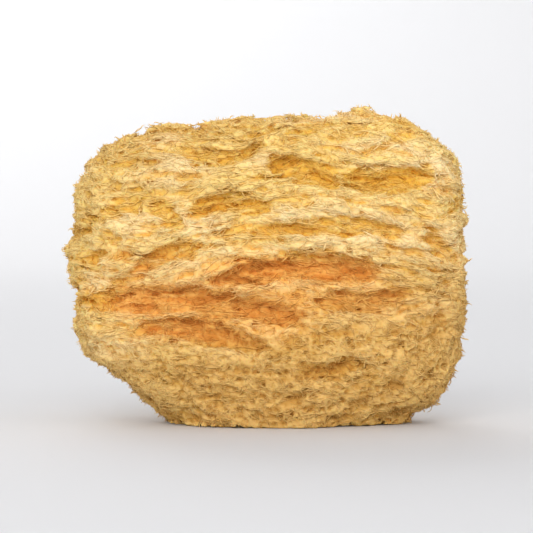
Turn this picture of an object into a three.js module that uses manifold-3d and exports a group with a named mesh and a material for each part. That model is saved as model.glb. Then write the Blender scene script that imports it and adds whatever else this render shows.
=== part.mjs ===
// A natural bath sponge: the cleaned skeleton of a sea sponge, trimmed to a plump block and cut flat
// where it grew on its rock. It is one piece. This is its outer body, out to the tips of its fibres,
// with its long furrows and the mouths of its larger canals.
// Millimetres, +Z up, the broad furrowed face towards -Y. The origin is the middle of the underside.
import * as THREE from "three";
import { ImprovedNoise } from "three/addons/math/ImprovedNoise.js";
import { mergeVertices } from "three/addons/utils/BufferGeometryUtils.js";
import Module from "manifold-3d";

const WIDTH = 108;
const DEPTH = 58;
const HEIGHT = 85;

const HALF_WIDTH = WIDTH / 2;
const HALF_DEPTH = DEPTH / 2;
const MIDDLE_HEIGHT = HEIGHT * 0.47; // where the outline and the body are reached out from

// The broad face's outline, anticlockwise, as shares of HALF_WIDTH and HEIGHT: a block with upright
// sides, a crown that rises to the right and a slanting lower left corner. It dips below the cut.
const OUTLINE = [
  [1.0, 0.56],
  [0.97, 0.8],
  [0.82, 0.93],
  [0.6, 1.0],
  [0.02, 0.985],
  [-0.4, 0.955],
  [-0.76, 0.9],
  [-0.96, 0.74],
  [-1.0, 0.48],
  [-0.95, 0.23],
  [-0.7, 0.11],
  [-0.34, -0.04],
  [0.14, -0.12],
  [0.56, -0.03],
  [0.86, 0.08],
  [0.99, 0.25],
];
const PILLOW = 2.7; // 2 rounds the body like an egg, and more squares it up
const BODY_DETAIL = 11; // how finely the body's sphere is divided

const FURROW_SIDES = 7;
const FURROW_STEPS = 8;
const CANAL_SIDES = 8;

// The body's swellings: a broad noise and a finer one, in millimetres.
const SWELLINGS = [
  { height: 2.2, across: 26 },
  { height: 1.1, across: 11 },
];

// Furrows, each an arc on one face of the body. The points are shares of the half sizes from the
// face's middle, across and up; the widths and depths are millimetres.
const FRONT_FURROWS = [
  { arc: [[-0.27, -0.11], [0.16, 0.02], [0.54, -0.03]], width: 5.4, depth: 5.8 },
  { arc: [[-0.94, -0.22], [-0.4, -0.2], [0.18, -0.32]], width: 6.4, depth: 4.2 },
  { arc: [[-0.6, -0.36], [-0.3, -0.4], [-0.02, -0.5]], width: 4.6, depth: 4.4 },
  { arc: [[0.24, -0.2], [0.46, -0.22], [0.7, -0.17]], width: 3.6, depth: 3.4 },
  { arc: [[0.02, 0.64], [0.2, 0.59], [0.34, 0.5]], width: 4.8, depth: 4.6 },
  { arc: [[0.38, 0.55], [0.58, 0.51], [0.82, 0.58]], width: 5.4, depth: 4.4 },
  { arc: [[-0.36, 0.34], [-0.18, 0.4], [0.0, 0.38]], width: 3.6, depth: 4.0 },
  { arc: [[-0.66, -0.06], [-0.5, 0.08], [-0.34, 0.1]], width: 3.0, depth: 2.6 },
  { arc: [[-0.99, 0.04], [-0.9, 0.04], [-0.8, 0.0]], width: 3.6, depth: 3.4 },
  { arc: [[0.8, 0.2], [0.86, 0.1], [0.94, 0.02]], width: 4.2, depth: 3.4 },
  { arc: [[0.16, -0.64], [0.3, -0.66], [0.46, -0.58]], width: 3.2, depth: 3.0 },
  { arc: [[-0.06, 0.2], [0.3, 0.26], [0.66, 0.2]], width: 2.8, depth: 2.2 },
  { arc: [[-0.84, 0.3], [-0.6, 0.42], [-0.4, 0.22]], width: 3.0, depth: 2.4 },
  { arc: [[-0.5, 0.76], [-0.2, 0.68], [-0.02, 0.78]], width: 3.6, depth: 2.8 },
];
const BACK_FURROWS = [
  { arc: [[-0.7, 0.3], [-0.2, 0.44], [0.3, 0.3]], width: 4.8, depth: 4.6 },
  { arc: [[-0.2, 0.0], [0.3, -0.1], [0.76, 0.04]], width: 5.2, depth: 4.8 },
  { arc: [[-0.8, -0.1], [-0.5, -0.2], [-0.2, -0.3]], width: 4.2, depth: 4.0 },
  { arc: [[-0.3, -0.56], [0.1, -0.48], [0.5, -0.5]], width: 4.0, depth: 3.6 },
  { arc: [[0.2, 0.66], [0.48, 0.6], [0.74, 0.44]], width: 4.0, depth: 3.8 },
];
const RIGHT_FURROWS = [
  { arc: [[-0.6, 0.36], [0.0, 0.44], [0.5, 0.32]], width: 4.4, depth: 4.2 },
  { arc: [[-0.4, -0.1], [0.1, -0.04], [0.6, -0.2]], width: 4.6, depth: 4.2 },
];
const LEFT_FURROWS = [
  { arc: [[-0.5, 0.3], [0.0, 0.2], [0.6, 0.3]], width: 4.4, depth: 4.2 },
  { arc: [[-0.6, -0.14], [-0.1, -0.22], [0.4, -0.1]], width: 4.6, depth: 4.0 },
];
const TOP_FURROWS = [
  { arc: [[-0.6, -0.3], [-0.2, -0.1], [0.2, -0.3]], width: 4.4, depth: 4.0 },
  { arc: [[-0.1, 0.4], [0.3, 0.2], [0.66, 0.36]], width: 4.6, depth: 4.2 },
];

// Canal mouths: where each opens on its face, its radius and how deep it runs, in millimetres.
const TOP_CANALS = [
  { at: [-0.38, 0.28], radius: 3.9, depth: 17 },
  { at: [0.3, -0.12], radius: 3.4, depth: 15 },
  { at: [0.02, 0.02], radius: 4.3, depth: 19 },
  { at: [-0.62, -0.02], radius: 2.9, depth: 12 },
  { at: [0.58, 0.06], radius: 3.0, depth: 12 },
];
const BACK_CANALS = [
  { at: [-0.46, 0.06], radius: 3.7, depth: 14 },
  { at: [0.5, 0.24], radius: 3.2, depth: 13 },
  { at: [0.12, -0.3], radius: 3.0, depth: 12 },
  { at: [-0.1, 0.64], radius: 3.3, depth: 13 },
  { at: [0.62, -0.34], radius: 2.7, depth: 11 },
];
const RIGHT_CANALS = [{ at: [0.1, 0.12], radius: 2.9, depth: 11 }];
const LEFT_CANALS = [{ at: [0.2, -0.5], radius: 2.7, depth: 10 }];

// A canal's side from its mouth to its end, as shares of its radius and its depth. It starts outside.
const CANAL_PROFILE = [
  [0, -0.25],
  [1.45, -0.25],
  [1.1, 0.1],
  [0.9, 0.5],
  [0.6, 0.88],
  [0, 1],
];

const SKIN_COLOUR = 0xe6b569;

// A face of the body: where its middle is, which ways are across and up on it, and which way is in.
const FACES = {
  front: { across: [HALF_WIDTH, 0, 0], up: [0, 0, HEIGHT / 2], inward: [0, 1, 0] },
  back: { across: [-HALF_WIDTH, 0, 0], up: [0, 0, HEIGHT / 2], inward: [0, -1, 0] },
  right: { across: [0, HALF_DEPTH, 0], up: [0, 0, HEIGHT / 2], inward: [-1, 0, 0] },
  left: { across: [0, -HALF_DEPTH, 0], up: [0, 0, HEIGHT / 2], inward: [1, 0, 0] },
  top: { across: [HALF_WIDTH, 0, 0], up: [0, HALF_DEPTH, 0], inward: [0, 0, -1] },
};

const noise = new ImprovedNoise();
const wasm = await Module();
wasm.setup();

// The outline as a closed curve in the XZ plane, read back as a distance from its middle by angle.
const outlineCurve = new THREE.CatmullRomCurve3(
  OUTLINE.map(([x, z]) => new THREE.Vector3(x * HALF_WIDTH, 0, z * HEIGHT - MIDDLE_HEIGHT)),
  true,
);
const outlineReach = outlineCurve
  .getPoints(OUTLINE.length * 12)
  .map((p) => ({ angle: Math.atan2(p.z, p.x), reach: Math.hypot(p.x, p.z) }))
  .sort((a, b) => a.angle - b.angle);

function reachAt(angle) {
  const after = outlineReach.findIndex((p) => p.angle > angle);
  const b = outlineReach[after < 0 ? 0 : after];
  const a = outlineReach[(after <= 0 ? outlineReach.length : after) - 1];
  const turn = 2 * Math.PI;
  const span = (b.angle - a.angle + turn) % turn;
  const share = span > 0 ? ((angle - a.angle + turn) % turn) / span : 0;
  return THREE.MathUtils.lerp(a.reach, b.reach, share);
}

// How far the body reaches from its middle along a direction: its outline, filled out like a pillow.
function bodyReach(direction) {
  const flat = Math.hypot(direction.x, direction.z);
  const side = flat / reachAt(Math.atan2(direction.z, direction.x));
  const thick = Math.abs(direction.y) / HALF_DEPTH;
  return (side ** PILLOW + thick ** PILLOW) ** (-1 / PILLOW);
}

function swelling(point) {
  return SWELLINGS.reduce(
    (sum, { height, across }, i) =>
      sum + height * noise.noise(point.x / across + 7 * i, point.y / across, point.z / across),
    0,
  );
}

// The whole body before it is cut: a sphere pushed out to its reach, then fitted to the three sizes.
function bodyGeometry() {
  const geometry = new THREE.IcosahedronGeometry(1, BODY_DETAIL);
  const places = geometry.getAttribute("position");
  const point = new THREE.Vector3();
  for (let i = 0; i < places.count; i++) {
    point.fromBufferAttribute(places, i).normalize();
    point.multiplyScalar(bodyReach(point));
    point.addScaledVector(point.clone().normalize(), swelling(point));
    places.setXYZ(i, point.x, point.y, point.z + MIDDLE_HEIGHT);
  }
  geometry.computeBoundingBox();
  const { min, max } = geometry.boundingBox;
  geometry.translate(-(min.x + max.x) / 2, -(min.y + max.y) / 2, 0);
  geometry.scale(WIDTH / (max.x - min.x), DEPTH / (max.y - min.y), HEIGHT / max.z);
  return geometry;
}

// The closed solid of a geometry, with its seam and poles merged and its faces turned outwards.
function closedSolid(geometry) {
  const bare = new THREE.BufferGeometry().setAttribute("position", geometry.getAttribute("position"));
  if (geometry.index) bare.setIndex(geometry.index);
  const merged = mergeVertices(bare, 1e-4);
  const corners = [];
  for (let i = 0; i < merged.index.count; i += 3) {
    const [a, b, c] = merged.index.array.slice(i, i + 3);
    if (a !== b && b !== c && c !== a) corners.push([a, b, c]);
  }
  const build = (triangles) =>
    new wasm.Manifold(
      new wasm.Mesh({
        numProp: 3,
        vertProperties: merged.getAttribute("position").array,
        triVerts: new Uint32Array(triangles.flat()),
      }),
    );
  const made = build(corners);
  return made.volume() > 0 ? made : build(corners.map(([a, b, c]) => [a, c, b]));
}

// The point of the body's surface over a place on a face, and the way in from there.
function surfacePoint(bodyMesh, face, [across, up]) {
  const inward = new THREE.Vector3(...face.inward);
  const start = new THREE.Vector3(0, 0, HEIGHT / 2)
    .addScaledVector(new THREE.Vector3(...face.across), across)
    .addScaledVector(new THREE.Vector3(...face.up), up)
    .addScaledVector(inward, -WIDTH);
  const hit = new THREE.Raycaster(start, inward).intersectObject(bodyMesh)[0];
  if (!hit) throw new Error(`no surface at ${across}, ${up}`);
  return { point: hit.point, inward };
}

// A furrow's cutter: a spindle that follows the furrow's arc over the surface.
function furrowCutter(bodyMesh, face, { arc, width, depth }) {
  const flatLine = new THREE.SplineCurve(arc.map(([across, up]) => new THREE.Vector2(across, up)));
  const line = new THREE.CatmullRomCurve3(
    flatLine.getPoints(FURROW_STEPS - 2).map(({ x, y }) => surfacePoint(bodyMesh, face, [x, y]).point),
  );
  const inward = new THREE.Vector3(...face.inward);
  const geometry = new THREE.SphereGeometry(1, FURROW_SIDES, FURROW_STEPS);
  const places = geometry.getAttribute("position");
  for (let i = 0; i < places.count; i++) {
    const along = (1 - places.getY(i)) / 2;
    const centre = line.getPoint(along);
    const sideways = line.getTangent(along).cross(inward).normalize();
    centre.addScaledVector(sideways, (places.getX(i) * width) / 2);
    centre.addScaledVector(inward, places.getZ(i) * depth);
    places.setXYZ(i, centre.x, centre.y, centre.z);
  }
  return closedSolid(geometry);
}

// A canal's cutter: a bore that flares at its mouth and ends round.
function canalCutter(bodyMesh, face, { at, radius, depth }) {
  const { point, inward } = surfacePoint(bodyMesh, face, at);
  const profile = CANAL_PROFILE.map(([out, down]) => new THREE.Vector2(out * radius, down * depth));
  const geometry = new THREE.LatheGeometry(profile, CANAL_SIDES);
  const aim = new THREE.Quaternion().setFromUnitVectors(new THREE.Vector3(0, 1, 0), inward);
  geometry.applyQuaternion(aim);
  geometry.translate(point.x, point.y, point.z);
  return closedSolid(geometry);
}

// Everything below the cut, with room to spare round the body.
function groundCutter() {
  const slab = new THREE.BoxGeometry(2 * WIDTH, 2 * WIDTH, HEIGHT);
  slab.translate(0, 0, -HEIGHT / 2);
  return closedSolid(slab);
}

function geometryOf(solid) {
  const { numProp, numVert, vertProperties, triVerts } = solid.getMesh();
  const places = new Float32Array(numVert * 3);
  for (let i = 0; i < numVert; i++) {
    places.set(vertProperties.subarray(i * numProp, i * numProp + 3), i * 3);
  }
  const geometry = new THREE.BufferGeometry();
  geometry.setAttribute("position", new THREE.BufferAttribute(places, 3));
  geometry.setIndex(new THREE.BufferAttribute(triVerts, 1));
  return geometry;
}

function sponge() {
  const whole = bodyGeometry();
  const bodyMesh = new THREE.Mesh(whole);
  const cutters = [
    ...FRONT_FURROWS.map((f) => furrowCutter(bodyMesh, FACES.front, f)),
    ...BACK_FURROWS.map((f) => furrowCutter(bodyMesh, FACES.back, f)),
    ...RIGHT_FURROWS.map((f) => furrowCutter(bodyMesh, FACES.right, f)),
    ...LEFT_FURROWS.map((f) => furrowCutter(bodyMesh, FACES.left, f)),
    ...TOP_FURROWS.map((f) => furrowCutter(bodyMesh, FACES.top, f)),
    ...BACK_CANALS.map((c) => canalCutter(bodyMesh, FACES.back, c)),
    ...RIGHT_CANALS.map((c) => canalCutter(bodyMesh, FACES.right, c)),
    ...LEFT_CANALS.map((c) => canalCutter(bodyMesh, FACES.left, c)),
    ...TOP_CANALS.map((c) => canalCutter(bodyMesh, FACES.top, c)),
    groundCutter(),
  ];
  const carved = cutters.reduce((solid, cutter) => solid.subtract(cutter), closedSolid(whole));
  const material = new THREE.MeshStandardMaterial({ color: SKIN_COLOUR, roughness: 0.95, metalness: 0 });
  const mesh = new THREE.Mesh(geometryOf(carved), material);
  mesh.name = "sponge";
  return mesh;
}

const object = new THREE.Group();
object.add(sponge());

export default object;
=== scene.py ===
"""A natural bath sponge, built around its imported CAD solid.

The solid reaches the tips of the fibres. Here its place is taken by a porous body a little inside it,
grown as a field of distances on a fine grid, and by the fibres that lie on the body and stand out of it.
Lengths are in millimetres until a mesh is made, with +Z up and the broad furrowed face towards -Y.
"""

import itertools
import math

import bpy
import numpy as np
import openvdb
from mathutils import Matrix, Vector


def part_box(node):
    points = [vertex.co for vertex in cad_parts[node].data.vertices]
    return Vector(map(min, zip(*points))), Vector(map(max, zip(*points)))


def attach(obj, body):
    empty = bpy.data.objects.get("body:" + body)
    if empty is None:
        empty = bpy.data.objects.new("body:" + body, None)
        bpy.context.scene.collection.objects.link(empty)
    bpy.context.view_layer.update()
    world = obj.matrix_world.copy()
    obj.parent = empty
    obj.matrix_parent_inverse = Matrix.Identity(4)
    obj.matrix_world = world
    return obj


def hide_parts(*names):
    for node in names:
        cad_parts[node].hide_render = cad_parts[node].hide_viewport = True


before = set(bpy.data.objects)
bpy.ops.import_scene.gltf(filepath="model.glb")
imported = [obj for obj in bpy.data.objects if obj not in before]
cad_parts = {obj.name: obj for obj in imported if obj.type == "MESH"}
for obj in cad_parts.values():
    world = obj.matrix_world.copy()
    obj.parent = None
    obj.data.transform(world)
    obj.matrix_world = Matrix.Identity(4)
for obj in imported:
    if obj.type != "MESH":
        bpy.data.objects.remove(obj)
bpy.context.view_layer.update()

MM = 0.001
NODE = "sponge"
SEED = 20617

LOW, HIGH = (np.array(corner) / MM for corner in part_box(NODE))
WIDTH, DEPTH, HEIGHT = HIGH - LOW
HALF_WIDTH, HALF_DEPTH = WIDTH / 2, DEPTH / 2

# The grid of distances, the room left round the solid, and how deep in they are kept.
VOXEL = 0.5
MARGIN = 3.0
BAND = 11.0
CUT_LOWERED = 8.0  # the cut is lowered by this for the distances, so that only the sides count there

# The body: how far its crests lie inside the solid, and where its lowest points are over the floor.
INSET = 0.9
FOOT = 0.08
CARVED_FROM, CARVED_TO = -7.0, 1.5  # the distances between which the body is carved
CARVING_EASES_IN = 2.0
BODY_TRIANGLES = 190_000

# How the solid's furrows are softened, in voxels, more so at the two ends, which are let out a little.
# The ends start and end at these shares of the half width.
SOFTENING = 2
END_SOFTENING = 6
END_SWELL = 0.9
ENDS_FROM, ENDS_TO = 0.72, 0.94
FURROW_BLUR = 6  # in voxels: what a furrow's depth is measured against

# The skin's features: their sizes along x, y and z in millimetres. In those that follow the growth
# layers, the last is a thickness of layer.
WAVERS = (6, 6, 4.5)
RIDGES = (15, 10, 2.6)
SMALL_RIDGES = (5, 4.5, 1.15)
SLOTS = (4.6, 3.8, 2.0)
LUMPS = (3.1, 3.1, 2.3)
CRUMBS = (1.2, 1.2, 0.85)
PORES = (2.3, 2.3, 2.0)
FINE_PORES = (1.4, 1.4, 1.3)
CUT_PORES = (3, 3, 3)
WAVER_DEPTH = 1.2
CUT_PORE_DEPTH = 2.4
CUT_PORES_UP_TO = 4.0  # the height over the floor to which the cut's pores reach

# The body's map, in millimetres: for each side, -X, +X, -Y, +Y, -Z and +Z, where its chart starts, and
# where the half-size chart of what lies behind it starts.
CHART_GAP = 4.0
CHART_CELL = 0.8  # how finely what lies in front is told from what lies behind
CELLS_ACROSS = 1000  # more of those cells than any chart has
CHART_SPAN = 2 * (WIDTH + CHART_GAP) + 2 * (DEPTH / 2 + CHART_GAP)
ROW_2, ROW_3 = HEIGHT + CHART_GAP, 2 * (HEIGHT + CHART_GAP)
ROW_4 = ROW_3 + DEPTH + CHART_GAP
COLUMN_2 = WIDTH + CHART_GAP
LAST_COLUMN = 2 * COLUMN_2
CHARTS = [
    (0, ROW_2, LAST_COLUMN, 0),
    (DEPTH + CHART_GAP, ROW_2, LAST_COLUMN, ROW_2 / 2),
    (0, 0, LAST_COLUMN, ROW_2),
    (COLUMN_2, 0, LAST_COLUMN, ROW_2 * 1.5),
    (0, ROW_3, 0, ROW_4),
    (COLUMN_2, ROW_3, COLUMN_2, ROW_4),
]

STRAND_CELL_RATIO = 4  # how many times longer than wide a strand's place on its map is
STRAND_CELL_EDGE = 0.1  # the share of that place left empty at each edge

# ---------------------------------------------------------------- noise

dice = np.random.default_rng(SEED)
PERMUTATION = dice.permutation(256).astype(np.int32)
DIRECTIONS = [g for g in itertools.product((-1, 0, 1), repeat=3) if sum(map(abs, g)) == 2]
GRADIENTS = np.resize(np.array(DIRECTIONS, np.float32), (256, 3)).T.copy()
JITTERS = dice.uniform(-0.4, 0.4, (3, 256)).astype(np.float32)


def corner_numbers(cell, seed):
    """A whole number from 0 to 255 for each of the eight corners of each grid cell, by corner."""
    numbers = {}
    for i in (0, 1):
        along_x = PERMUTATION[(cell[0] + (i + seed)) & 255]
        for j in (0, 1):
            along_y = PERMUTATION[(along_x + cell[1] + j) & 255]
            for k in (0, 1):
                numbers[i, j, k] = PERMUTATION[(along_y + cell[2] + k) & 255]
    return numbers


def gradient_noise(x, y, z, seed):
    """Perlin's noise, about -1 to 1, with one feature in about two units."""
    place = [np.asarray(v, np.float32) for v in (x, y, z)]
    cell = [np.floor(v).astype(np.int32) for v in place]
    inside = [v - c for v, c in zip(place, cell)]
    ease = [v * v * v * (v * (v * 6 - 15) + 10) for v in inside]
    shares = [(1 - e, e) for e in ease]
    total = np.zeros(place[0].shape, np.float32)
    for corner, number in corner_numbers(cell, seed).items():
        slope = sum(GRADIENTS[axis][number] * (inside[axis] - corner[axis]) for axis in range(3))
        total += slope * shares[0][corner[0]] * shares[1][corner[1]] * shares[2][corner[2]]
    return total


def cell_noise(x, y, z, seed):
    """The distance to the nearest of some points, strewn one to a unit cell: about 1 between them."""
    place = [np.asarray(v, np.float32) - 0.5 for v in (x, y, z)]
    cell = [np.floor(v).astype(np.int32) for v in place]
    inside = [v - c for v, c in zip(place, cell)]
    nearest = np.full(place[0].shape, 9.0, np.float32)
    for corner, number in corner_numbers(cell, seed).items():
        squared = sum((inside[axis] - corner[axis] - JITTERS[axis][number]) ** 2 for axis in range(3))
        nearest = np.minimum(nearest, squared)
    return np.sqrt(nearest)


def ramp(value, start, end):
    """Eases from 0 at start to 1 at end."""
    t = np.clip((value - start) / (end - start), 0, 1)
    return t * t * (3 - 2 * t)


# ---------------------------------------------------------------- how the sponge grows


def bow(x, z):
    """How far a growth layer is lifted at x: the layers bow up over the middle and flatten lower down."""
    across = np.exp(-(((x - 0.15 * HALF_WIDTH) / (0.5 * HALF_WIDTH)) ** 2))
    strength = ramp(z, 0.22 * HEIGHT, 0.55 * HEIGHT) * (1 - 0.6 * ramp(z, 0.6 * HEIGHT, HEIGHT)) - 0.25
    return 7.5 * across * strength


def layer(x, y, z):
    """The height of the growth layer through a point, which the ridges and furrows follow."""
    height = z - bow(x, z)
    height = height + 2.6 * gradient_noise(x / 19, y / 19, z / 15, 3)
    return height + 1.0 * gradient_noise(x / 7, y / 7, z / 6, 4)


def graininess(x, y, z):
    """0 where the skin lies in layers, 1 where it is evenly pored, which is the lower part."""
    edge = 0.33 * HEIGHT + 0.13 * x + 5 * gradient_noise(x / 16, y / 16, z / 16, 5)
    return 1 - ramp(z, edge - 7, edge + 7)


def by_end(x):
    """0 over the middle of the sponge, 1 at its two ends."""
    return ramp(np.abs(x), ENDS_FROM * HALF_WIDTH, ENDS_TO * HALF_WIDTH)


def swells(size, x, y, z, seed):
    """Gradient noise whose features have that size."""
    return gradient_noise(x / size[0], y / size[1], z / size[2], seed)


def pits(size, x, y, z, seed, warp=(0, 0), wall=(0.14, 0.6)):
    """Pits of that size, warped along x and z: 1 in the middle of a pit and 0 from its wall on."""
    distance_in = cell_noise(x / size[0] + warp[0], y / size[1], z / size[2] + warp[1], seed)
    return 1 - ramp(distance_in, *wall)


def relief(x, y, z):
    """How far the skin lies in from the crests at a point."""
    height = layer(x, y, z)
    grain = graininess(x, y, z)
    ridges = swells(RIDGES, x, y, height, 11)
    small_ridges = swells(SMALL_RIDGES, x, y, height, 12)
    lumps = swells(LUMPS, x, y, z, 13)
    crumbs = swells(CRUMBS, x, y, z, 14)
    warp = 0.4 * lumps
    pores = pits(PORES, x, y, z, 15, (warp, -warp))
    slots = pits(SLOTS, x, y, height, 16, (warp, warp), (0.15, 0.6))
    fine_pores = pits(FINE_PORES, x, y, z, 17, (-warp, warp), (0.14, 0.55))
    layered = (1.15 - 0.4 * by_end(x)) * ramp(-ridges, -0.35, 0.5)
    layered = layered + 0.7 * ramp(-small_ridges, -0.4, 0.5) + 0.6 * slots + 0.5 * pores
    grainy = 0.5 * ramp(-ridges, -0.2, 0.5) + 0.7 * pores + 0.6 * fine_pores + 0.3 * slots + 0.3
    return layered * (1 - grain) + grainy * grain + 0.35 * lumps + 0.3 * crumbs


# ---------------------------------------------------------------- the grid


class Grid:
    """Values at the points of a regular grid, read back at any place between them."""

    def __init__(self, low, values):
        self.low = np.asarray(low, float)
        self.values = values

    def read(self, points):
        at = (points - self.low) / VOXEL
        shape = self.values.shape
        cell = np.clip(np.floor(at).astype(np.int64), 0, np.array(shape) - 2)
        after = np.clip(at - cell, 0, 1).astype(np.float32).T
        shares = (1 - after, after)
        first = np.ravel_multi_index(tuple(cell.T), shape)
        flat = self.values.reshape(-1)
        total = np.zeros(len(points), np.float32)
        for i, j, k in itertools.product((0, 1), repeat=3):
            share = shares[i][0] * shares[j][1] * shares[k][2]
            total += share * flat[first + (i * shape[1] + j) * shape[2] + k]
        return total

    def slope(self, points, reach=VOXEL):
        steps = np.eye(3) * reach
        return np.stack([self.read(points + s) - self.read(points - s) for s in steps], 1) / (2 * reach)


def blurred(values, radius):
    """The values averaged over a cube of that many voxels either way, twice over."""
    for axis in (0, 1, 2, 0, 1, 2):
        padding = [(radius + 1, radius) if a == axis else (0, 0) for a in range(3)]
        sums = np.cumsum(np.pad(values, padding, mode="edge"), axis=axis, dtype=np.float32)
        length = values.shape[axis]
        ahead = np.take(sums, range(2 * radius + 1, 2 * radius + 1 + length), axis=axis)
        behind = np.take(sums, range(length), axis=axis)
        values = (ahead - behind) / (2 * radius + 1)
    return values


def unit(vectors):
    return vectors / np.maximum(np.linalg.norm(vectors, axis=-1, keepdims=True), 1e-9)


def welded(mesh):
    """A mesh's corners in millimetres with the doubled ones joined, and its triangles."""
    corners = np.empty(len(mesh.vertices) * 3, np.float32)
    mesh.vertices.foreach_get("co", corners)
    mesh.calc_loop_triangles()
    triangles = np.empty(len(mesh.loop_triangles) * 3, np.int32)
    mesh.loop_triangles.foreach_get("vertices", triangles)
    rounded = np.round(corners.reshape(-1, 3) / MM, 4)
    places, joined = np.unique(rounded, axis=0, return_inverse=True)
    return places.astype(np.float32), joined.reshape(-1)[triangles].reshape(-1, 3)


def solid_distance():
    """The distance to the CAD solid's sides, less than 0 inside, as a Grid."""
    places, triangles = welded(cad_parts[NODE].data)
    on_cut = places[:, 2] < VOXEL / 50
    places[on_cut, 2] -= CUT_LOWERED
    shape = openvdb.FloatGrid.createLevelSetFromPolygons(
        places,
        triangles=triangles.astype(np.uint32),
        transform=openvdb.createLinearTransform(voxelSize=VOXEL),
        halfWidth=BAND / VOXEL,
    )
    first = np.floor((LOW - MARGIN) / VOXEL).astype(int)
    last = np.ceil((HIGH + MARGIN) / VOXEL).astype(int)
    values = np.full(last - first + 1, BAND, np.float32)
    shape.copyToArray(values, ijk=tuple(int(v) for v in first))
    return Grid(first * VOXEL, values)


def furrows(distance):
    """Where the solid dips in: above 0 in and beside a furrow or a canal, and below 0 on a swelling."""
    filled = blurred((distance.values < 0).astype(np.float32), FURROW_BLUR)
    reach = 2 * FURROW_BLUR * VOXEL
    return Grid(distance.low, filled - np.clip(0.5 - distance.values / (2 * reach), 0, 1))


def grid_places(chosen, low):
    return [(axis * VOXEL + start).astype(np.float32) for axis, start in zip(np.nonzero(chosen), low)]


def body_field(distance):
    """The body's distances: the solid's, wavered, drawn in by the relief near the skin, and cut flat."""
    low = distance.low
    end = by_end(low[0] + np.arange(distance.values.shape[0]) * VOXEL)[:, None, None].astype(np.float32)
    softer = 0.5 * (distance.values + blurred(distance.values, SOFTENING)) * (1 - end)
    softer += (blurred(distance.values, END_SOFTENING) - END_SWELL) * end
    softened = Grid(low, softer)
    values = softened.values + INSET
    near = (distance.values > CARVED_FROM) & (distance.values < CARVED_TO)
    x, y, z = grid_places(near, low)
    waver = [WAVER_DEPTH * swells(WAVERS, x, y, z, seed) for seed in (61, 62, 63)]
    wavered = softened.read(np.stack([x + waver[0], y + waver[1], z + waver[2]], 1))
    fade = ramp(distance.values[near], CARVED_FROM, CARVED_FROM + CARVING_EASES_IN)
    values[near] += fade * (wavered - softened.values[near] + relief(x, y, z))
    heights = low[2] + np.arange(values.shape[2]) * VOXEL
    floor = np.broadcast_to(FOOT - heights, values.shape).astype(np.float32).copy()
    near_cut = np.abs(heights) < CUT_PORES_UP_TO
    by_floor = np.broadcast_to(near_cut, values.shape) & (distance.values < 0)
    x, y, z = grid_places(by_floor, low)
    floor[by_floor] += CUT_PORE_DEPTH * pits(CUT_PORES, x, y, z, 21, wall=(0.1, 0.55))
    return Grid(low, np.maximum(values, floor))


def surface(field):
    """The field's surface as places and triangles, with loose bits and closed bubbles left out."""
    shape = openvdb.FloatGrid(background=1.0)
    shape.copyFromArray(field.values)
    places, triangles, quads = shape.convertToPolygons(isovalue=0.0, adaptivity=0.0)
    places = places * VOXEL + field.low
    faces = np.concatenate([triangles, quads[:, [0, 1, 2]], quads[:, [0, 2, 3]]]).astype(np.int64)
    return largest_part(places, faces[:, ::-1])


def largest_part(places, faces):
    label = np.arange(len(places))
    edges = np.concatenate([faces[:, [0, 1]], faces[:, [1, 2]], faces[:, [2, 0]]])
    while True:
        lower = np.minimum(label[edges[:, 0]], label[edges[:, 1]])
        new = label.copy()
        np.minimum.at(new, edges[:, 0], lower)
        np.minimum.at(new, edges[:, 1], lower)
        new = new[new]
        if (new == label).all():
            break
        label = new
    kept = label == np.bincount(label).argmax()
    number = np.cumsum(kept) - 1
    return places[kept], number[faces[kept[faces[:, 0]]]]


# ---------------------------------------------------------------- meshes


def make_mesh(name, places, faces):
    mesh = bpy.data.meshes.new(name)
    mesh.vertices.add(len(places))
    mesh.vertices.foreach_set("co", (places * MM).astype(np.float32).ravel())
    mesh.loops.add(len(faces) * 3)
    mesh.loops.foreach_set("vertex_index", faces.astype(np.int32).ravel())
    mesh.polygons.add(len(faces))
    mesh.polygons.foreach_set("loop_start", np.arange(0, len(faces) * 3, 3, dtype=np.int32))
    mesh.polygons.foreach_set("loop_total", np.full(len(faces), 3, np.int32))
    mesh.polygons.foreach_set("use_smooth", np.ones(len(faces), bool))
    mesh.update(calc_edges=True)
    obj = bpy.data.objects.new(name, mesh)
    bpy.context.collection.objects.link(obj)
    return obj


def add_map(obj, corners):
    """The map named OFBake, that pictures of the surface can be drawn on: a place for each corner of each
    triangle.
    """
    obj.data.uv_layers.new(name="OFBake").data.foreach_set("uv", corners.astype(np.float32).ravel())


def box_map(obj):
    """Lays the triangles out by the side that they face, with those behind others in a smaller chart."""
    mesh = obj.data
    places = np.empty(len(mesh.vertices) * 3, np.float32)
    mesh.vertices.foreach_get("co", places)
    places = places.reshape(-1, 3) / MM - LOW
    corners = np.empty(len(mesh.loops), np.int32)
    mesh.loops.foreach_get("vertex_index", corners)
    triangles = places[corners.reshape(-1, 3)]
    normals = np.cross(triangles[:, 1] - triangles[:, 0], triangles[:, 2] - triangles[:, 0])
    axis = np.abs(normals).argmax(1)
    ahead = np.take_along_axis(normals, axis[:, None], 1)[:, 0] > 0
    across = np.where(axis == 0, 1, 0)
    up = np.where(axis == 2, 1, 2)
    rows = np.arange(len(triangles))
    flat = np.stack([triangles[rows, :, across], triangles[rows, :, up]], 2)
    depth = triangles[rows, :, axis].mean(1) * np.where(ahead, 1, -1)
    cell = (flat.mean(1) / CHART_CELL).astype(int)
    side = axis * 2 + ahead
    number = (side * CELLS_ACROSS + cell[:, 0]) * CELLS_ACROSS + cell[:, 1]
    nearest = np.full(number.max() + 1, -1e9)
    np.maximum.at(nearest, number, depth)
    behind = depth < nearest[number] - CHART_CELL
    charts = np.array(CHARTS)[side]
    start = np.where(behind[:, None], charts[:, 2:4], charts[:, 0:2])
    scale = np.where(behind, 0.5, 1.0)[:, None, None]
    add_map(obj, (start[:, None, :] + flat * scale) / CHART_SPAN)


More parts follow.
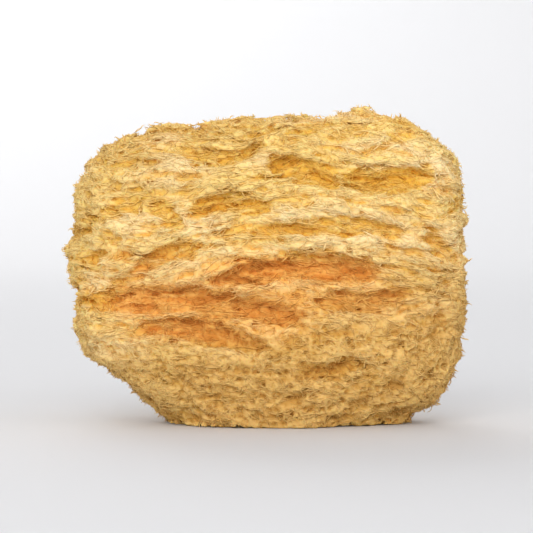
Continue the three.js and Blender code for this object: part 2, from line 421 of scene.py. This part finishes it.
def thinned(obj, triangles):
    """The object with its mesh decimated to about that many triangles."""
    count = len(obj.data.polygons)
    if count > triangles:
        modifier = obj.modifiers.new("thin", "DECIMATE")
        modifier.ratio = triangles / count
        evaluated = obj.evaluated_get(bpy.context.evaluated_depsgraph_get())
        mesh = bpy.data.meshes.new_from_object(evaluated)
        obj.modifiers.clear()
        old, obj.data = obj.data, mesh
        bpy.data.meshes.remove(old)
    return obj


distance = solid_distance()
# The furrows' depth, read only for the painted shade in them.
furrow = furrows(distance)
field = body_field(distance)
# How shut in each place is, close by and more broadly: read for the painted shade in hollows, and for the
# fibres' ways out and places.
filled = (field.values < 0).astype(np.float32)
close_fill = Grid(field.low, blurred(filled, 1))
broad_fill = Grid(field.low, blurred(filled, 5))
places, faces = surface(field)


# ---------------------------------------------------------------- fibres


def outward(points):
    """The way out of the body at each point, as a hand would feel it."""
    return unit(-broad_fill.slope(points, 1.0))


def flow(points, out):
    """The way along the growth layers at each point, over the skin."""
    steps = 0.6 * np.eye(3)
    slope = [layer(*(points + step).T) - layer(*(points - step).T) for step in steps]
    return unit(np.cross(out, np.stack(slope, 1)))


def scattered(rng, vectors, amount):
    """The ways, each turned at random by about that much."""
    return unit(vectors + amount * rng.normal(size=vectors.shape))


def trails(rng, starts, headings, steps, stride, lift, wander):
    """Paths over the body: each step is drawn back to a height over it. An array of path, point, xyz."""
    points = [starts]
    heading = headings
    for _ in range(steps):
        ahead = points[-1] + heading * stride
        gap = field.read(ahead)
        slope = field.slope(ahead)
        steep = np.maximum(np.linalg.norm(slope, axis=1), 0.5)
        most = 0.45 * stride[:, 0]
        shift = np.clip((lift - gap) / steep, -most, most)
        ahead = ahead + unit(slope) * shift[:, None]
        heading = scattered(rng, unit(ahead - points[-1]), wander)
        points.append(ahead)
    return np.stack(points, 1)


def strands(name, paths, radius, flat=1.0):
    """Three-sided closed strands along the paths, pointed at both ends, as one mesh."""
    count, steps, _ = paths.shape
    along = unit(np.gradient(paths, axis=1))
    out = outward(paths.reshape(-1, 3)).reshape(paths.shape)
    side = unit(np.cross(along, out))
    up = unit(np.cross(side, along))
    taper = np.sin(np.linspace(0, np.pi, steps)) ** 0.7
    rings = []
    for turn in range(3):
        angle = 2 * np.pi * turn / 3
        spoke = np.cos(angle) * side + np.sin(angle) * up * flat
        rings.append(paths + spoke * (radius[:, None] * taper)[..., None])
    rings = np.stack(rings, 2)[:, 1:-1]
    corners = np.concatenate([paths[:, :1], rings.reshape(count, -1, 3), paths[:, -1:]], 1)
    corners[..., 2] = np.maximum(corners[..., 2], FOOT / 2)
    last = 3 * (steps - 2) + 1
    pattern = []
    spots = []  # how far along the strand and across its side each corner lies
    for turn in range(3):
        here, there = 1 + turn, 1 + (turn + 1) % 3
        pattern.append([0, there, here])
        spots.append([(0, 0.5), (1, 1), (1, 0)])
        for ring in range(steps - 3):
            a, b = here + 3 * ring, there + 3 * ring
            pattern += [[a, b, b + 3], [a, b + 3, a + 3]]
            r = ring + 1
            spots += [[(r, 0), (r, 1), (r + 1, 1)], [(r, 0), (r + 1, 1), (r + 1, 0)]]
        end = 3 * (steps - 3)
        pattern.append([here + end, there + end, last])
        spots.append([(steps - 2, 0), (steps - 2, 1), (steps - 1, 0.5)])
    pattern = np.array(pattern)
    faces = (np.arange(count)[:, None, None] * corners.shape[1] + pattern).reshape(-1, 3)
    obj = make_mesh(name, corners.reshape(-1, 3), faces)
    columns = math.ceil(math.sqrt(count / STRAND_CELL_RATIO))
    rows = math.ceil(count / columns)
    cell = np.stack(np.divmod(np.arange(count), rows), 1)
    spots = STRAND_CELL_EDGE + (1 - 2 * STRAND_CELL_EDGE) * np.array(spots) / (steps - 1, 1)
    add_map(obj, (cell[:, None, None, :] + spots) / (columns, rows))
    return obj


def rooted(rng, count, weights):
    """Starting places on the body's surface, picked by weight, with the way out and the layers' way."""
    chosen = rng.choice(len(places), count, replace=False, p=weights / weights.sum())
    starts = places[chosen]
    out = outward(starts)
    return starts, out, flow(starts, out)


def column(rng, low, high, count):
    """A number between the two for each strand, to multiply its xyz by."""
    return rng.uniform(low, high, (count, 1))


def ridge_strands(rng, weights):
    """Long strands that lie along the layers, over the crests."""
    count = 7900
    starts, out, along = rooted(rng, count, weights)
    way = scattered(rng, along * rng.choice([-1, 1], (count, 1)), 0.12)
    stride = column(rng, 0.75, 1.3, count)
    paths = trails(rng, starts + out * 0.15, way, 5, stride, 0.16, 0.16)
    return strands("sponge_ridge_strands", paths, rng.uniform(0.16, 0.3, count), 0.7)


def web_strands(rng, weights):
    """Shorter strands that lie every way over the skin."""
    count = 10500
    starts, out, along = rooted(rng, count, weights)
    way = scattered(rng, along * rng.choice([-1, 1], (count, 1)), 0.8)
    stride = column(rng, 0.6, 1.0, count)
    paths = trails(rng, starts, way, 4, stride, 0.1, 0.25)
    return strands("sponge_web_strands", paths, rng.uniform(0.13, 0.24, count), 0.8)


def tuft_fibres(rng, weights):
    """Fibres that stand out of the skin and bend over along the layers."""
    count = 15800
    starts, out, along = rooted(rng, count, weights)
    way = scattered(rng, 0.65 * out + along * rng.normal(0, 1.2, (count, 1)), 0.25)
    bend = scattered(rng, along, 0.5)
    length = column(rng, 0.36, 0.62, count)
    steps = [starts - out * 0.3]
    for turn in (0.0, 0.25, 0.5):
        way = unit(way + bend * turn * 0.6)
        steps.append(steps[-1] + way * length)
    return strands("sponge_tuft_fibres", np.stack(steps, 1), rng.uniform(0.09, 0.16, count))


def fuzz(rng, weights):
    """The finest ends, which stand out of the skin."""
    count = 24000
    starts, out, along = rooted(rng, count, weights)
    way = scattered(rng, 0.7 * out + along * rng.normal(0, 0.9, (count, 1)), 0.35)
    length = column(rng, 0.45, 0.85, count)
    middle = starts + way * length * 0.45
    tip = middle + scattered(rng, way, 0.3) * length * 0.6
    return strands("sponge_fuzz", np.stack([starts, middle, tip], 1), rng.uniform(0.06, 0.1, count))


# ---------------------------------------------------------------- colour


def attribute(obj, name, values):
    kept = obj.data.attributes.new(name, "FLOAT", "POINT")
    kept.data.foreach_set("value", np.asarray(values, np.float32))


def patches(x, y, z, spots):
    """How far each point is into any of some soft patches, which lie along the growth layers."""
    total = np.zeros(x.shape)
    height = layer(x, y, z)
    for across, up, half_width, half_height, strength in spots:
        spot = np.array([[across * HALF_WIDTH, -HALF_DEPTH, (1 + up) * HEIGHT / 2]], np.float32)
        off_x = (x - spot[0, 0]) / (half_width * HALF_WIDTH)
        off_z = (height - layer(*spot.T)[0]) / (half_height * HEIGHT / 2)
        total = np.maximum(total, strength * np.exp(-(off_x**4) - off_z**2))
    return total * (1 - 0.75 * ramp(y, -0.3 * HALF_DEPTH, 0.6 * HALF_DEPTH))


def dress(obj, lighter, warmer):
    """Writes what the material reads at each vertex: painted shade in hollows and furrows, layers, and
    the zones of colour, the lower of which is partly painted shade.

    The piece is given less of the painted shade of hollows by the share lighter, and made warmer, as if
    more orange, by the share warmer.
    """
    points = np.empty(len(obj.data.vertices) * 3, np.float32)
    obj.data.vertices.foreach_get("co", points)
    points = points.reshape(-1, 3) / MM
    x, y, z = points.T
    # Painted shade in the furrows: how deep in one each place lies, which makes the colour darker and
    # warmer there and keeps the pale blotches out.
    furrow_shade = ramp(furrow.read(points), 0.02, 0.14)
    mottle = gradient_noise(x / 20, y / 20, z / 12, 41)
    # Painted shade in hollows: the more the body closes round a place, the darker its colour there.
    cavity_shade = ramp(close_fill.read(points), 0.35, 0.9) + ramp(broad_fill.read(points), 0.38, 0.8)
    orange = patches(x, y, z, ORANGE_PATCHES)
    amber = patches(x, y, z, AMBER_PATCHES)
    middle = np.exp(-(((z - 0.42 * HEIGHT) / (0.17 * HEIGHT)) ** 2))
    middle = middle * (1 - 0.7 * ramp(-x, 0.6 * HALF_WIDTH, 0.92 * HALF_WIDTH))
    # The share by which the colour ramps darken: painted shade of hollows and furrows, and the orange and
    # amber patches of colour.
    attribute(obj, "hollow_shade_and_patches", 0.36 * cavity_shade + 0.2 * furrow_shade + 0.3 * np.maximum(orange, amber) - lighter)
    attribute(obj, "layer", layer(x, y, z))
    # Besides the orange patches and the band across the middle, furrows in that band are painted warmer,
    # as shade.
    warmth = warmer + orange + middle * (0.35 + 0.6 * mottle + 0.3 * furrow_shade)
    attribute(obj, "orange", np.clip(warmth, 0, 1))
    # The lower part takes the darker brown-yellow colours, partly as its own tone and partly as painted
    # shade where the light falls off under it; the crown towards -X takes them a little, as its own tone.
    rise = 0.15 * HEIGHT * x / HALF_WIDTH
    low = 1 - ramp(z - rise, 0.14 * HEIGHT, 0.5 * HEIGHT)
    crown = 0.4 * ramp(z, 0.62 * HEIGHT, HEIGHT) * ramp(-x, -0.7 * HALF_WIDTH, HALF_WIDTH)
    ochre_and_low_shade = np.maximum(low, crown) * (1.05 - 0.4 * mottle) * (1 - 0.6 * orange)
    attribute(obj, "ochre_and_low_shade", np.clip(ochre_and_low_shade, 0, 1))
    blotches = ramp(gradient_noise(x / 17, y / 17, z / 9, 43), 0.0, 0.6)
    pale = np.maximum(blotches, patches(x, y, z, PALE_PATCHES))
    attribute(obj, "pale", pale * (1 - furrow_shade) * (1 - orange))


# Soft patches of colour on the broad face: the middle across and up, half the width and the height, as
# shares of the half sizes, and the strength.
ORANGE_PATCHES = [
    (0.14, -0.03, 0.4, 0.07, 1.0),
    (-0.4, -0.23, 0.3, 0.11, 0.8),
    (-0.1, -0.3, 0.34, 0.13, 0.95),
    (-0.36, -0.4, 0.3, 0.07, 0.8),
    (0.4, -0.2, 0.22, 0.05, 0.4),
    (0.24, -0.62, 0.16, 0.05, 0.45),
]
AMBER_PATCHES = [
    (0.18, 0.6, 0.22, 0.06, 0.8),
    (0.6, 0.54, 0.28, 0.07, 0.9),
    (-0.26, 0.34, 0.18, 0.05, 0.7),
    (-0.8, -0.22, 0.16, 0.09, 0.9),
    (0.6, 0.92, 0.3, 0.08, 0.6),
    (-0.1, 0.84, 0.5, 0.07, 0.4),
]
PALE_PATCHES = [
    (0.56, 0.72, 0.26, 0.05, 1.0),
    (-0.1, 0.1, 0.5, 0.05, 0.8),
    (0.56, 0.2, 0.5, 0.18, 0.95),
    (-0.56, 0.3, 0.24, 0.14, 0.8),
    (0.2, -0.12, 0.36, 0.04, 0.9),
    (-0.72, -0.52, 0.18, 0.1, 0.8),
]


class Nodes:
    """A short way to write a material's node tree. An input is given as a value or as an output."""

    def __init__(self, material):
        self.tree = material.node_tree

    def add(self, kind, inputs=(), **settings):
        node = self.tree.nodes.new(kind)
        for name, value in settings.items():
            setattr(node, name, value)
        for key, value in dict(inputs).items():
            if hasattr(value, "is_linked"):
                self.tree.links.new(value, node.inputs[key])
            else:
                node.inputs[key].default_value = value
        return node

    def attribute(self, name):
        return self.add("ShaderNodeAttribute", attribute_name=name).outputs["Fac"]

    def maths(self, operation, a, b=0.0, clamp=False):
        node = self.add("ShaderNodeMath", {0: a, 1: b}, operation=operation, use_clamp=clamp)
        return node.outputs[0]

    def noise(self, vector, scale, detail=2.0):
        inputs = {"Vector": vector, "Scale": scale, "Detail": detail}
        return self.add("ShaderNodeTexNoise", inputs).outputs["Fac"]

    def ramp(self, value, stops):
        node = self.add("ShaderNodeValToRGB", {"Fac": value})
        band = node.color_ramp
        for _ in stops[2:]:
            band.elements.new(0.5)
        for element, (place, colour) in zip(band.elements, stops):
            element.position = place
            element.color = (*linear(colour), 1)
        return node.outputs["Color"]

    def varied(self, value, pattern, amount):
        """The value, moved up and down with a pattern whose middle is a half."""
        move = self.maths("MULTIPLY", self.maths("SUBTRACT", pattern, 0.5), amount)
        return self.maths("ADD", value, move)

    def mix(self, share, a, b):
        node = self.add("ShaderNodeMix", data_type="RGBA")
        self.tree.links.new(share, node.inputs["Factor"])
        self.tree.links.new(a, node.inputs["A"])
        self.tree.links.new(b, node.inputs["B"])
        return node.outputs["Result"]


def linear(colour):
    """A colour given in sRGB from 0 to 255, as the linear numbers that Blender takes."""
    shares = np.array(colour) / 255
    return np.where(shares <= 0.04045, shares / 12.92, ((shares + 0.055) / 1.055) ** 2.4)


# The colours of each zone from its crests to its hollows, in sRGB from 0 to 255: each grows darker
# towards the hollows, which is painted shade, and the third, for the lower part, is partly painted shade
# too.
GOLD = [(0.0, (248, 216, 138)), (0.35, (241, 197, 98)), (0.7, (236, 182, 72)), (1.0, (226, 164, 56))]
ORANGE = [(0.0, (254, 208, 136)), (0.35, (244, 182, 96)), (0.7, (230, 154, 70)), (1.0, (216, 136, 56))]
OCHRE_AND_LOW_SHADE = [(0.0, (228, 186, 112)), (0.35, (206, 156, 79)), (0.7, (190, 135, 60)), (1.0, (170, 115, 48))]
PALE = [(0.0, (255, 229, 174)), (0.35, (252, 211, 138)), (0.7, (245, 191, 108)), (1.0, (230, 168, 82))]


def spongin(name, subsurface):
    """Matt horny fibre, streaked along the layers, specked and pored, with painted shade, darker and
    warmer, in hollows and pores.
    """
    material = bpy.data.materials.new(name)
    material.use_nodes = True
    shader = material.node_tree.nodes["Principled BSDF"]
    n = Nodes(material)
    place = n.add("ShaderNodeTexCoord").outputs["Object"]
    parts = n.add("ShaderNodeSeparateXYZ", {0: place})
    height = n.maths("MULTIPLY", n.attribute("layer"), MM)
    grown = n.add("ShaderNodeCombineXYZ", {0: parts.outputs[0], 1: parts.outputs[1], 2: height})
    drawn_out = {0: grown.outputs[0], 1: (0.2, 0.3, 1.0)}
    streak_place = n.add("ShaderNodeVectorMath", drawn_out, operation="MULTIPLY").outputs[0]
    streaks = n.noise(streak_place, 900.0, 3.0)
    fine_streaks = n.noise(streak_place, 2400.0, 2.0)
    specks = n.noise(place, 900.0, 2.0)
    blotches = n.noise(place, 90.0, 3.0)
    cells = n.add("ShaderNodeTexVoronoi", {"Vector": place, "Scale": 620.0}, feature="F1")
    walls = {"Value": cells.outputs["Distance"], "From Min": 0.42, "From Max": 0.12}
    pores = n.add("ShaderNodeMapRange", walls).outputs[0]
    # The painted shade of hollows and furrows, moved up and down by the fibre's own streaks, specks and
    # blotches.
    shade = n.varied(n.attribute("hollow_shade_and_patches"), streaks, 0.7)
    shade = n.varied(shade, specks, 0.25)
    shade = n.varied(shade, blotches, 0.3)
    # Painted shade in the pores: each is darkened towards its middle.
    shade = n.maths("ADD", shade, n.maths("MULTIPLY", pores, 0.15), clamp=True)
    colour = n.mix(n.attribute("pale"), n.ramp(shade, GOLD), n.ramp(shade, PALE))
    colour = n.mix(n.attribute("orange"), colour, n.ramp(shade, ORANGE))
    # The darker brown-yellow colours of the lower part, partly painted shade, and of the crown.
    colour = n.mix(n.attribute("ochre_and_low_shade"), colour, n.ramp(shade, OCHRE_AND_LOW_SHADE))
    grain_bump = n.maths("SUBTRACT", n.maths("MULTIPLY", specks, 0.6), pores)
    heights = n.maths("ADD", n.maths("ADD", streaks, n.maths("MULTIPLY", fine_streaks, 0.5)), grain_bump)
    bump = n.add("ShaderNodeBump", {"Strength": 0.5, "Distance": 0.0005, "Height": heights})
    rough = n.add("ShaderNodeMapRange", {"Value": specks, "To Min": 0.8, "To Max": 1.0})
    n.tree.links.new(colour, shader.inputs["Base Color"])
    n.tree.links.new(rough.outputs[0], shader.inputs["Roughness"])
    n.tree.links.new(bump.outputs[0], shader.inputs["Normal"])
    shader.inputs["Specular IOR Level"].default_value = 0.12
    shader.inputs["Subsurface Weight"].default_value = subsurface
    shader.inputs["Subsurface Radius"].default_value = (1.0, 0.65, 0.4)
    shader.inputs["Subsurface Scale"].default_value = 0.0015
    return material


body = thinned(make_mesh("sponge_body", places, faces), BODY_TRIANGLES)
box_map(body)

off_floor = ramp(places[:, 2], 0.6, 2.5)
crest = 1 - ramp(close_fill.read(places), 0.35, 0.75)
layered = 1 - 0.7 * graininess(*places.T)
rng = np.random.default_rng(SEED)
skin = spongin("spongin_body", 0.4)
fibre = spongin("spongin_fibre", 0.0)  # too thin to hold the light that passes under its surface
# Each piece, the share by which its painted shade of hollows is lessened, how much warmer it is, and its
# material.
pieces = [
    (body, 0.08, 0.0, skin),
    (ridge_strands(rng, off_floor * layered * (0.1 + crest)), 0.02, 0.2, fibre),
    (web_strands(rng, off_floor * (0.3 + crest)), -0.02, 0.2, fibre),
    (tuft_fibres(rng, off_floor * (0.1 + crest)), -0.03, 0.2, fibre),
    (fuzz(rng, off_floor * (0.2 + crest)), -0.03, 0.2, fibre),
]
for piece, lighter, warmer, material in pieces:
    dress(piece, lighter, warmer)
    piece.data.materials.append(material)
    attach(piece, "root")
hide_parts(NODE)


# ---------------------------------------------------------------- the studio, in metres

LIGHT_SIZE = 1.8
LIGHT_TARGET = 0.04
WORLD_LIGHT = 0.75
STAGE_COLOUR = (0.72, 0.72, 0.73, 1)
FLAT_RADIUS, BACKDROP_RISE = 1.2, 2.4
BACKDROP_SIDES, BACKDROP_STEPS = 96, 24
LENS = 200
CAMERA_DISTANCE = 0.79
CAMERA_ELEVATION = math.radians(2)
LOOK_AT = 0.49  # as a share of the sponge's height


def aim(obj, location, target):
    obj.location = location
    obj.rotation_euler = (Vector(target) - Vector(location)).to_track_quat("-Z", "Y").to_euler()
    bpy.context.collection.objects.link(obj)


def add_area_light(name, location, power):
    data = bpy.data.lights.new(name, "AREA")
    data.shape = "DISK"
    data.size = LIGHT_SIZE
    data.energy = power
    aim(bpy.data.objects.new(name, data), location, (0, 0, LIGHT_TARGET))


def add_bowl():
    """A floor that curves up into a backdrop all round, so that it has no edge from any side."""
    flat, rise, sides = FLAT_RADIUS, BACKDROP_RISE, BACKDROP_SIDES
    profile = [(flat, 0.0)]
    for step in range(1, BACKDROP_STEPS + 1):
        angle = math.pi / 2 * step / BACKDROP_STEPS
        profile.append((flat + rise * math.sin(angle), rise * (1 - math.cos(angle))))
    profile.append((flat + rise, rise * 2))
    turns = [2 * math.pi * k / sides for k in range(sides)]
    corners = [(r * math.cos(t), r * math.sin(t), z) for r, z in profile for t in turns]
    faces = [tuple(range(sides))]
    for ring in range(len(profile) - 1):
        for k in range(sides):
            a = ring * sides + k
            b = ring * sides + (k + 1) % sides
            faces.append((a, a + sides, b + sides, b))
    mesh = bpy.data.meshes.new("stage")
    mesh.from_pydata(corners, [], faces)
    mesh.polygons.foreach_set("use_smooth", [True] * len(mesh.polygons))
    stage = bpy.data.objects.new("stage", mesh)
    bpy.context.collection.objects.link(stage)
    paint = bpy.data.materials.new("stage")
    paint.use_nodes = True
    shader = paint.node_tree.nodes["Principled BSDF"]
    shader.inputs["Base Color"].default_value = STAGE_COLOUR
    shader.inputs["Roughness"].default_value = 0.9
    mesh.materials.append(paint)


add_bowl()

world = bpy.data.worlds.new("studio")
world.use_nodes = True
sky = world.node_tree.nodes["Background"]
sky.inputs["Color"].default_value = (1, 1, 1, 1)
sky.inputs["Strength"].default_value = WORLD_LIGHT
bpy.context.scene.world = world

add_area_light("key", (-0.4, -2.2, 1.05), 37)
add_area_light("fill", (1.8, -1.8, 0.9), 14)
add_area_light("back", (-0.6, 2.2, 1.3), 24)

data = bpy.data.cameras.new("camera")
data.lens = LENS
data.clip_start = 0.01
data.clip_end = 20
camera = bpy.data.objects.new("camera", data)
look_at = Vector((0, 0, LOOK_AT * HEIGHT * MM))
towards = Vector((0, -math.cos(CAMERA_ELEVATION), math.sin(CAMERA_ELEVATION)))
aim(camera, look_at + towards * CAMERA_DISTANCE, look_at)
bpy.context.scene.camera = camera
bpy.context.scene.view_settings.view_transform = "Standard"
